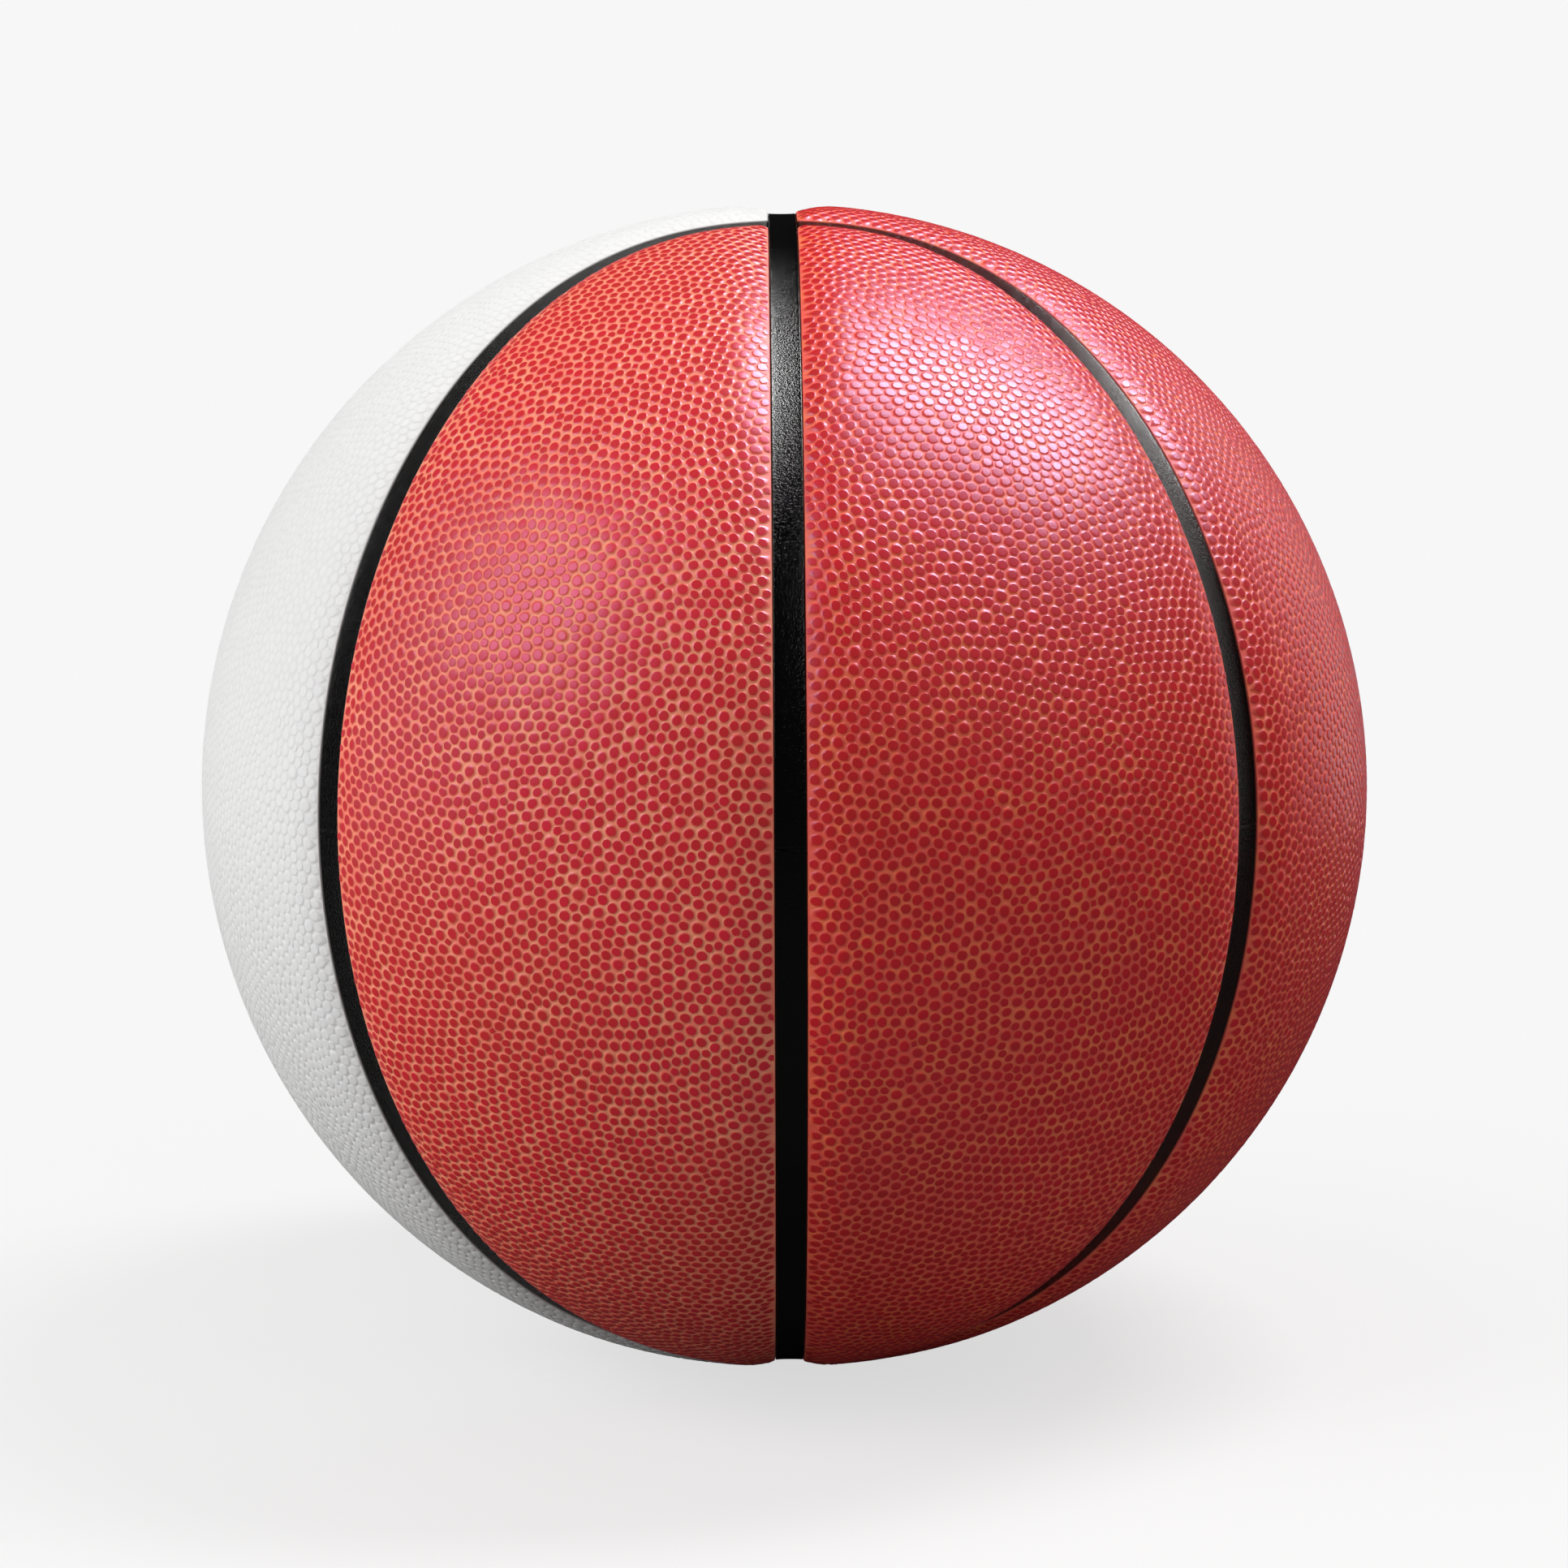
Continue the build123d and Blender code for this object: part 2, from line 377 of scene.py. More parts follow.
def pebble_feet(site, tri, is_rim, start, following, twin):
    """Corners of the feet in mm from each middle, a share of the way to the triangles' centres and square
    to the radius, and the middles of the feet's sides."""
    heart = unit(site[tri].mean(axis=1)) * BALL_RADIUS
    reach = np.repeat(heart, 3, axis=0) - site[start] * BALL_RADIUS
    reach -= site[start] * (reach * site[start]).sum(axis=1, keepdims=True)
    beside_rim = np.repeat(is_rim[tri].sum(axis=1) == 2, 3)
    foot = reach * np.where(beside_rim, RIM_FOOT_SHARE, FOOT_SHARE)[:, None]
    return foot, (foot + foot[following[twin]]) / 2


def pebble_tops(site, start, foot, side, random):
    """Corners of the tops in mm from each middle, towards the feet's corners and sides: a circle mixed with
    the cell's own shape, longer one way by a cosine of twice the angle, with a random share added."""
    count = len(site)
    foot_length = np.linalg.norm(foot, axis=1)
    side_length = np.linalg.norm(side, axis=1)
    mean_side = (np.bincount(start, side_length, count) / np.bincount(start, minlength=count))[start]
    narrowest = np.full(count, np.inf)
    np.minimum.at(narrowest, start, side_length)
    grown = np.minimum(random.uniform(*TOP_SIZES, count) * TOP_RADIUS, CELL_SHARE * narrowest)
    grown = np.maximum(grown, LEAST_TOP * TOP_RADIUS)[start]
    long_way = random.normal(size=(count, 3))
    long_way = unit(long_way - site * (long_way * site).sum(axis=1, keepdims=True))[start]
    tops = []
    for way, length, rounding, fitted, limit in (
            (foot, foot_length, ROUNDING, SIDE_TO_CORNER * foot_length, CORNER_LIMIT),
            (side, side_length, 1.0, side_length, SIDE_LIMIT)):
        length = np.maximum(length, TINY)
        lengthwise = (way * long_way).sum(axis=1) / length
        size = grown * (rounding + FOLLOW_CELL * (fitted / mean_side - 1))
        size *= 1 + STRETCH * (2 * lengthwise**2 - 1) + UNEVEN_EDGE * random.uniform(-1, 1, len(start))
        tops.append(way * (np.minimum(size, limit * length) / length)[:, None])
    return tops


print("A top is about", round(2 * TOP_RADIUS, 2), "mm wide, its cell", round(PEBBLE_PITCH, 2), "mm")

# %% [markdown]
# ## Shading normals
# A pebble's top is nearly flat and its wall is softly rounded, more than so few faces can show. So every
# corner of a face gets a shading normal: it follows the cover's slope and leans outwards from the pebble's
# middle, hardly on the top, more at the brim, and most at the foot.

# %% Shading normals
TOP_LEAN = 0.03
BRIM_LEAN = 0.25
FOOT_LEAN = 0.62
GROUND_LEAN = 0.1
PROBE = 0.2
NEAREST = 0.4


def sloping_normal(direction, distance, uphill):
    """Normal of the cover without pebbles: the radius less the height's slope along the uphill way."""
    near = np.maximum(distance, NEAREST)
    bend = cover_height(near + PROBE / 2) - cover_height(near - PROBE / 2)
    return direction - uphill * (bend / PROBE)[:, None]


print("Leaning normals:", TOP_LEAN, "on tops,", BRIM_LEAN, "at brims and", FOOT_LEAN, "at feet")

# %% [markdown]
# ## Faces
# Each top is one face with its corners in turn. Walls join the top and the foot. The ground fills what is
# left: a strip along each triangle's side and a small triangle in its middle. With the top that makes some
# 36 triangles for each pebble.

# %% Faces of a panel


def round_tops(direction, site, centre, numbers, owners):
    """The tops' corners in turn: sorted by their pebble, then by the angle round its middle."""
    from_middle = flat_map(direction[numbers], centre) - flat_map(site[owners], centre)
    angle = np.arctan2(from_middle[:, 1], from_middle[:, 0])
    turn = np.lexsort((angle, owners))
    sizes = np.bincount(owners)
    return numbers[turn], sizes[sizes > 0]


def ground_faces(sides, is_rim, foot_at, size):
    """Triangles and strips between the feet. Where a strip meets the rim, it is a triangle."""
    start, ahead, twin, following, _ = sides
    once = np.flatnonzero((twin > np.arange(len(start))) & ~(is_rim[start] & is_rim[ahead]))
    across = twin[once]
    ends = [following[across], across, following[once], once]
    strip = np.stack([foot_at[end] for end in ends], -1)
    start_rim = is_rim[start[once]]
    end_rim = is_rim[ahead[once]]
    ground = np.vstack([
        strip[start_rim][:, [0, 1, 2]],
        strip[end_rim][:, [0, 1, 3]],
        foot_at.reshape(size),
    ])
    return ground, strip[~start_rim & ~end_rim]


def wall_faces(sides, foot_at, corner_at, side_at, pebbles):
    """Three triangles of wall for each half side of a pebble, between its top's corners and its foot's."""
    _, _, twin, following, before = sides
    return np.vstack([
        np.stack([side_at, foot_at, corner_at], -1)[pebbles],
        np.stack([corner_at, foot_at, side_at[twin[before]]], -1)[pebbles],
        np.stack([side_at, foot_at[following[twin]], foot_at], -1)[pebbles],
    ])


print("A pebble with six neighbours has", 3 * 6, "triangles of wall")

# %% [markdown]
# ## The panel's edge and underside
# A panel has a thickness. Below the rim, two rings follow the rolled edge, a third lies on the carcass,
# and a plain underside closes the solid.

# %% Rim
RIM_SINK = 0.6
ROLL_BACK = 1.02
# Rings below the rim: distance from the edge, radius where it isn't the roll's, place on the flat chart
RIM_STEPS = ((0.12, None, 0.12), (0.0, None, -0.3), (0.0, COVER_INSIDE, -2.0))
UNDER_THINNING = 17
UNDER_MARGIN = 6


def rim_rings(rim, edge, uphill, relief):
    """The rings' points in mm, their places on the chart, and their normals, which turn from the radius to
    the way out of the panel as the roll goes down."""
    points, chart, facing = [], [], []
    for inset, radius, unrolled in RIM_STEPS:
        around = settle(rim, edge, inset)
        rolled = BALL_RADIUS + cover_height(np.array([inset]))[0] - relief * RIM_SINK
        points.append(around * (rolled if radius is None else radius))
        chart.append(settle(rim, edge, unrolled))
        roll = 1 - inset / ROLL_WIDTH
        facing.append(unit(around * (ROLL_BACK - roll) - uphill * roll))
    return points, chart, facing


def underside(rim, kept, edge, centre):
    """A few points of the underside, away from its edge, and its triangles, which face inwards."""
    few = kept[::UNDER_THINNING]
    inside = few[edge(few) > UNDER_MARGIN]
    outline = np.vstack([settle(rim, edge, 0.0), inside])
    return inside, triangles_of(outline, centre, len(rim))[:, ::-1]


print("Edge rings at", [step[0] for step in RIM_STEPS], "mm from the edge")

# %% [markdown]
# ## A pebbled panel as one mesh
# The pieces come together for the front right panel of each kind. The material reads three values from the
# mesh: where the tops are, a shade for each pebble, and where the cut edge and underside take a painted
# shade, a dark colour that stands for the shadow in the channel. The underside has its own part of the flat
# chart. The white leather's pebbles are lower and softer.

# %% Panel mesh
RIM_SPACING = 1.1
RIM_INSET = 0.2
BARE_EDGE = 0.4
LEAST_DISTANCE = 0.05
CHART = (np.array([0.78, 0.98]), np.array([0.01, 0.01]))
UNDER_CHART = (np.array([0.18, 0.98]), np.array([0.81, 0.01]))


def flat_chart(points, centre):
    """Equal-area map about a centre, scaled to fill a square: the stereographic map times the root of half
    of one plus the component to the centre."""
    flat = flat_map(points, centre) * np.sqrt((1 + points @ centre) / 2)[:, None]
    return (flat - flat.min(axis=0)) / np.ptp(flat, axis=0)


def pebbled_panel(edge, walk, centre, places, seed, relief, lean):
    """Vertices in mm, faces as rings of vertex numbers with their lengths, and the values that the
    material reads, for the front right panel of one kind."""
    random = np.random.default_rng(seed)
    rim = settle(evenly(settle(walk, edge, RIM_INSET), RIM_SPACING), edge, RIM_INSET)
    kept = places[edge(places) > BARE_EDGE]
    site = np.vstack([rim, kept])
    count = len(site)
    is_rim = np.arange(count) < len(rim)
    tri = triangles_of(site, centre, len(rim))
    sides = half_sides(tri, count)
    start, _, twin, following, _ = sides
    foot, side = pebble_feet(site, tri, is_rim, start, following, twin)
    top_corner, top_side = pebble_tops(site, start, foot, side, random)

    # Numbers of the vertices: the rim, then feet, top corners and top sides of the pebbles
    raised = ~is_rim[start]
    pebbles = np.flatnonzero(raised)
    rank = np.cumsum(raised) - 1
    foot_at = np.where(raised, len(rim) + rank, start)
    corner_at = len(rim) + len(pebbles) + rank
    side_at = len(rim) + 2 * len(pebbles) + rank
    first_top = len(rim) + len(pebbles)
    owner = start[pebbles]
    owners = np.tile(owner, 3)

    # Places and heights: the ground lies below the tops, and each top tilts a little
    tilt = random.normal(size=(count, 3)) * TOP_TILT
    offsets = np.vstack([foot[pebbles], top_corner[pebbles], top_side[pebbles]])
    direction = np.vstack([rim, unit(site[owners] * BALL_RADIUS + offsets)])
    lift = np.full(len(direction), -relief)
    lift[first_top:] = np.clip((tilt[owners] * offsets).sum(axis=1)[len(pebbles):], -TOP_MARGIN, TOP_MARGIN)
    lift[: len(rim)] = -relief * RIM_SINK
    distance = edge(direction)
    radius = BALL_RADIUS + cover_height(np.maximum(distance, LEAST_DISTANCE)) + lift

    # Shading normals on tops, walls and ground
    uphill = unit(edge_slope(edge, direction, PROBE / BALL_RADIUS))
    plain = sloping_normal(direction, distance, uphill)
    outward = lean * np.vstack([np.zeros_like(rim), unit(offsets)])
    tilted = np.vstack([np.zeros_like(rim), tilt[owners]])
    is_top = np.arange(len(direction)) >= first_top
    top_facing = unit(plain + TOP_LEAN * outward - tilted)
    wall_facing = unit(plain + np.where(is_top, BRIM_LEAN, FOOT_LEAN)[:, None] * outward)
    ground_facing = unit(plain + GROUND_LEAN * outward)

    # Faces of the upper side
    top_numbers = np.r_[corner_at[pebbles], side_at[pebbles]]
    top_loops, top_sizes = round_tops(direction, site, centre, top_numbers, np.r_[owner, owner])
    walls = wall_faces(sides, foot_at, corner_at, side_at, pebbles)
    ground, quads = ground_faces(sides, is_rim, foot_at, tri.shape)

    # Edge and underside
    ring_points, ring_chart, ring_facing = rim_rings(rim, edge, uphill[: len(rim)], relief)
    inside, under = underside(rim, kept, edge, centre)
    total = len(direction) + len(rim) * len(RIM_STEPS)
    rings = [np.arange(len(rim))]
    rings += list(np.arange(len(direction), total).reshape(len(RIM_STEPS), len(rim)))
    for upper, lower in zip(rings[:-1], rings[1:]):
        belt = np.stack([lower, np.roll(lower, -1), np.roll(upper, -1), upper], -1)
        quads = np.vstack([quads, belt])
    under = np.r_[rings[-1], total + np.arange(len(inside))][under]
    vertices = np.vstack([direction * radius[:, None], *ring_points, inside * COVER_INSIDE])
    loops = np.r_[top_loops, walls.ravel(), ground.ravel(), quads.ravel(), under.ravel()]
    threes = len(walls) + len(ground)
    sizes = np.r_[top_sizes, np.full(threes, 3), np.full(len(quads), 4), np.full(len(under), 3)]

    # What the material reads
    pebble = np.zeros(len(vertices))
    pebble[top_numbers] = 1
    tint = np.full(len(vertices), 0.5)
    tint[len(rim): len(direction)] = random.random(count)[owners]
    # Painted shade: the cut edge's lower ring takes half, and the ring on the carcass and the underside all,
    # of a dark colour that stands for the channel's shadow
    channel_shade = np.zeros(len(vertices))
    channel_shade[rings[2]] = 0.5
    channel_shade[rings[3][0]:] = 1

    # Chart and normals by the corners of the faces
    flat = flat_chart(np.vstack([direction, *ring_chart, inside]), centre)
    below = len(loops) - under.size
    uv = flat[loops] * CHART[0] + CHART[1]
    uv[below:] = flat[loops[below:]] * UNDER_CHART[0] + UNDER_CHART[1]
    facing = np.vstack([ground_facing, *ring_facing, -inside])[loops]
    facing[: len(top_loops)] = top_facing[top_loops]
    facing[len(top_loops): len(top_loops) + walls.size] = wall_facing[walls.ravel()]
    facing[below:] = -unit(vertices[loops[below:]])
    return {"vertices": vertices, "loops": loops, "sizes": sizes, "flat": np.zeros(len(sizes), bool),
            "uv": uv, "facing": facing, "values": {"pebble": pebble, "tint": tint, "channel_shade": channel_shade}}


inner_panel = pebbled_panel(inner_edge, inner_walk, INNER_CENTRE, inner_places, 21, 0.2, 1.0)
outer_panel = pebbled_panel(outer_edge, outer_walk, OUTER_CENTRE, outer_places, 22, 0.2, 1.0)
soft_outer_panel = pebbled_panel(outer_edge, outer_walk, OUTER_CENTRE, outer_places, 22, 0.14, 0.75)
for name, made in (("inner", inner_panel), ("outer", outer_panel), ("soft outer", soft_outer_panel)):
    print(name, "panel:", len(made["vertices"]), "vertices,", (made["sizes"] - 2).sum(), "triangles")

# %% [markdown]
# ## From arrays to objects
# One function puts arrays into a mesh. The half turns carry the front right panel to its other places,
# as they do in the CAD part, and each piece takes over from its CAD node.

# %% Objects


def new_piece(kind, node, shape, turn):
    """A mesh object from vertices in mm, face loops and sizes, carried by a half turn to its place on the
    ball, where it takes over from its CAD node."""
    mesh = bpy.data.meshes.new(kind + node)
    mesh.vertices.add(len(shape["vertices"]))
    places = shape["vertices"] * METRES * np.array(turn)
    mesh.vertices.foreach_set("co", places.astype(np.float32).ravel())
    mesh.loops.add(len(shape["loops"]))
    mesh.loops.foreach_set("vertex_index", shape["loops"].astype(np.int32))
    mesh.polygons.add(len(shape["sizes"]))
    mesh.polygons.foreach_set("loop_start", np.r_[0, np.cumsum(shape["sizes"])[:-1]].astype(np.int32))
    mesh.polygons.foreach_set("use_smooth", ~shape["flat"])
    mesh.update(calc_edges=True)
    for label, values in shape.get("values", {}).items():
        mesh.attributes.new(label, "FLOAT", "POINT").data.foreach_set("value", values.astype(np.float32))
    mesh.uv_layers.new(name="OFBake").data.foreach_set("uv", shape["uv"].astype(np.float32).ravel())
    if "facing" in shape:
        mesh.normals_split_custom_set((shape["facing"] * np.array(turn)).tolist())
    piece = bpy.data.objects.new(kind + node, mesh)
    bpy.context.scene.collection.objects.link(piece)
    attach(piece, "ball")
    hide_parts(node)
    return piece


PLACES = {
    "front_right": (1, 1, 1),
    "front_left": (-1, 1, -1),
    "back_left": (-1, -1, 1),
    "back_right": (1, -1, -1),
}
WHITE_PLACES = ("front_left", "back_left")
red_panels = []
white_panels = []
for place, turn in PLACES.items():
    red_panels.append(new_piece("cover_", "inner_panel_" + place, inner_panel, turn))
    node = "outer_panel_" + place
    if place in WHITE_PLACES:
        white_panels.append(new_piece("cover_", node, soft_outer_panel, turn))
    else:
        red_panels.append(new_piece("cover_", node, outer_panel, turn))
print(len(red_panels), "red panels and", len(white_panels), "white")

# %% [markdown]
# ## Rubber strips
# A strip is extruded rubber laid in the channel: its face is a little hollow, with lips along its sides.

# %% Strip section
LIP = 0.05
LIP_POWER = 8
DISH = 0.1
SHOULDER = 0.12
END_ROUND = 0.35
END_DROP = 0.12
SECTION_POINTS = 15


def strip_section():
    """Points across a strip and their heights over the ball's radius, in mm, round the whole section:
    a hollow face with lips, short rounded shoulders, sides, and a foot on the carcass."""
    across = np.sin(np.linspace(-np.pi / 2, np.pi / 2, SECTION_POINTS)) * (STRIP_HALF - SHOULDER)
    share = np.abs(across) / STRIP_HALF
    face = -STRIP_DEPTH - DISH * (1 - share**2) + LIP * share**LIP_POWER
    foot = COVER_INSIDE - BALL_RADIUS
    shoulder = face[-1] - SHOULDER
    side = np.array([STRIP_HALF, STRIP_HALF, 0.0, -STRIP_HALF, -STRIP_HALF])
    low = np.array([shoulder, foot, foot, foot, shoulder])
    return np.r_[across, side], np.r_[face, low]


across, height = strip_section()
print("Strip section:", len(across), "points, its face", height[:SECTION_POINTS].min().round(2), "mm deep")

# %% [markdown]
# ## Strips along their channels
# The section is carried along the band, the ring or the oval. At mid height, where two lengths butt
# together, their ends are rounded, so a thin line shows. At the valve the band's ends go round it.

# %% Swept strips
ROW_SPACING = 0.9
ROUNDED_ROWS = np.array([0.06, 0.14, 0.26, 0.42])
CLOSING_U = 1.02
STRIP_CHART = (np.array([0.95, 0.98]), np.array([0.0, 0.01]))


def along(length_mm):
    """Shares of a strip's length, close together at its ends, where it is rounded."""
    even = np.linspace(0, 1, int(length_mm / ROW_SPACING))
    near = ROUNDED_ROWS / length_mm
    return np.unique(np.r_[even, near, 1 - near])


def swept_strip(path, start, stop, length_mm):
    """A strip's closed surface. The path gives a direction from a parameter and a distance across, and
    the parameter runs from start to stop, which may differ over the section's points."""
    share = along(length_mm)
    at = start + (stop - start) * share[:, None] + np.zeros(len(across))
    direction = path(at, across)
    from_end = np.minimum(share, 1 - share) * length_mm
    into = np.clip(1 - from_end / END_ROUND, 0, 1)
    drop = END_DROP * into**2
    radius = BALL_RADIUS + height - np.where(height > height.min(), drop[:, None], 0)
    vertices = (direction * radius[..., None]).reshape(-1, 3)
    rows, cols = at.shape
    number = np.arange(rows * cols).reshape(rows, cols)
    here = number[:-1]
    onward = number[1:]
    quads = np.stack([here, np.roll(here, -1, axis=1), np.roll(onward, -1, axis=1), onward], -1)
    quads = quads.reshape(-1, 4)
    caps = np.r_[number[0][::-1], number[-1]]
    loops = np.r_[quads.ravel(), caps]
    sizes = np.r_[np.full(len(quads), 4), cols, cols]
    edge_length = np.r_[0, np.cumsum(np.hypot(np.diff(across), np.diff(height)))]
    u = np.broadcast_to(edge_length / edge_length[-1], at.shape).ravel()
    v = np.broadcast_to(share[:, None], at.shape).ravel()
    corner_u = u[loops]
    closing = (quads % cols == 0) & np.array([False, True, True, False])
    corner_u[: quads.size] = np.where(closing, CLOSING_U, u[quads]).ravel()
    uv = np.stack([corner_u, v[loops]], -1) * STRIP_CHART[0] + STRIP_CHART[1]
    return {"vertices": vertices, "loops": loops, "sizes": sizes, "flat": sizes > 4, "uv": uv}


QUARTER = BALL_RADIUS * np.pi / 2
print("Rows along a quarter of the ball:", len(along(QUARTER)))

# %% Band and ring strips
level = SPLICE_HALF / BALL_RADIUS
pole = np.pi / 2 - level
beside_band = CHANNEL_HALF / BALL_RADIUS
notch = np.sqrt(np.maximum(VALVE_NOTCH**2 - across**2, 0))
valve_gap = np.maximum(notch, SPLICE_HALF) / BALL_RADIUS
band_strip = swept_strip(band_path, level, pole, QUARTER)
valve_strip = swept_strip(band_path, valve_gap, pole, QUARTER)
ring_strip = swept_strip(ring_path, level, np.pi / 2 - beside_band, QUARTER)
HALF_TURNS = list(PLACES.values())
band_turns = dict(zip(("front_upper", "front_lower", "back_upper", "back_lower"), HALF_TURNS))
ring_turns = dict(zip(("right_upper", "left_lower", "left_upper", "right_lower"), HALF_TURNS))
strips = []
for place, turn in band_turns.items():
    shape = valve_strip if "back" in place else band_strip
    strips.append(new_piece("rubber_", "band_strip_" + place, shape, turn))
for place, turn in ring_turns.items():
    strips.append(new_piece("rubber_", "ring_strip_" + place, ring_strip, turn))
print(len(strips), "band and ring strips, each", round(QUARTER, 1), "mm long")

# %% [markdown]
# ## Oval strips
# A quarter of the oval runs from mid height up to the band. Equal turns aren't equal steps along it, so the
# length is walked first and looked up. The lower quarter is a mirror image, with each face's corners in the
# other order so that it still faces outwards.

# %% Oval strips
OVAL_POINTS = 2000
turns = np.linspace(0, np.pi / 2, WALK_POINTS)
middle_line = oval_line(turns, 0)
last_turn = turns[np.argmin(np.abs(middle_line[:, 0] - beside_band))]
first_turn = turns[np.argmin(np.abs(middle_line[:, 2] - level))]
turn_at = np.linspace(first_turn, last_turn, OVAL_POINTS)
line = oval_line(turn_at, 0) * BALL_RADIUS
steps = np.linalg.norm(np.diff(line, axis=0), axis=1)
oval_length = steps.sum()
walked = np.r_[0, np.cumsum(steps)] / oval_length


def oval_path(share, offset):
    """Directions beside the oval's middle line, by the share of the way up from mid height."""
    return oval_line(np.interp(share, walked, turn_at), offset)


oval_upper = swept_strip(oval_path, 0, 1, oval_length)
mirrored = np.array([1, 1, -1])
oval_lower = dict(oval_upper, vertices=oval_upper["vertices"] * mirrored)
sizes = oval_upper["sizes"]
ends = np.cumsum(sizes)
flip = np.repeat(2 * ends - sizes, sizes) - 1 - np.arange(ends[-1])
oval_lower["loops"] = oval_upper["loops"][flip]
oval_lower["uv"] = oval_upper["uv"][flip]
for place, turn in PLACES.items():
    upright = ("upper", "lower") if turn[2] > 0 else ("lower", "upper")
    for half, shape in zip(upright, (oval_upper, oval_lower)):
        node = f"oval_strip_{place}_{half}"
        strips.append(new_piece("rubber_", node, shape, turn))
print(len(strips), "strips in all, an oval quarter is", round(oval_length, 1), "mm long")

# %% [markdown]
# ## Colours and nodes
# Colours are written as they look on a screen, in sRGB hex, and Blender's shaders want linear light, so
# one function converts them. Another adds a node with its settings and links.

# %% Helpers for materials


def colour(hex_code):
    """Linear RGBA from an sRGB hex code: below a small value a straight line, above it a power of 2.4."""
    screen = np.array([int(hex_code[at: at + 2], 16) for at in (1, 3, 5)]) / 255
    light = np.where(screen <= 0.04045, screen / 12.92, ((screen + 0.055) / 1.055) ** 2.4)
    return (*light.tolist(), 1.0)


def set_inputs(tree, node, inputs):
    """Fills a node's inputs with values, or links them to other nodes' outputs."""
    for socket, value in inputs.items():
        if isinstance(value, bpy.types.NodeSocket):
            tree.links.new(value, node.inputs[socket])
        else:
            node.inputs[socket].default_value = value


def add(tree, kind, inputs=None, **settings):
    """Adds a node with its own settings, and fills or links its inputs."""
    made = tree.nodes.new("ShaderNode" + kind)
    for label, value in settings.items():
        setattr(made, label, value)
    set_inputs(tree, made, inputs or {})
    return made


def new_material(name):
    """A material with an empty tree but for its shader and output."""
    material = bpy.data.materials.new(name)
    material.use_nodes = True
    tree = material.node_tree
    return material, tree, tree.nodes["Principled BSDF"]


def per_metre(size_mm):
    """Scale of a noise whose features are about this large."""
    return 1000 / size_mm


print("Red as linear light:", [round(value, 3) for value in colour("#B3202B")[:3]])

# %% [markdown]
# ## Pebbled composite leather
# The cover is a microfibre sheet with a coat of polyurethane, embossed while warm. The ground is a
# lighter, blotchy salmon orange, and a roller prints the darker red on the pebbles' tops alone. Each
# top takes the ink a little differently, and the print fades in large soft patches. Tops are smoother
# than the ground, so they shine in the light, and the coat has a faint pinkish sheen at a glancing angle.

# %% Cover leather
BLOTCH_MM = 4.5
SPECK_MM = 2.4
DRIFT_MM = 60
GRAIN_MM = 0.45
GRAIN_DEPTH_MM = 0.06
# Painted shade: a dark colour on the panels' cut edge, standing for the shadow in the channel beside the
# strip
CHANNEL_SHADE = "#191415"
SHEEN_TINT = "#E88CB4"
SHEEN_ROUGHNESS = 0.4


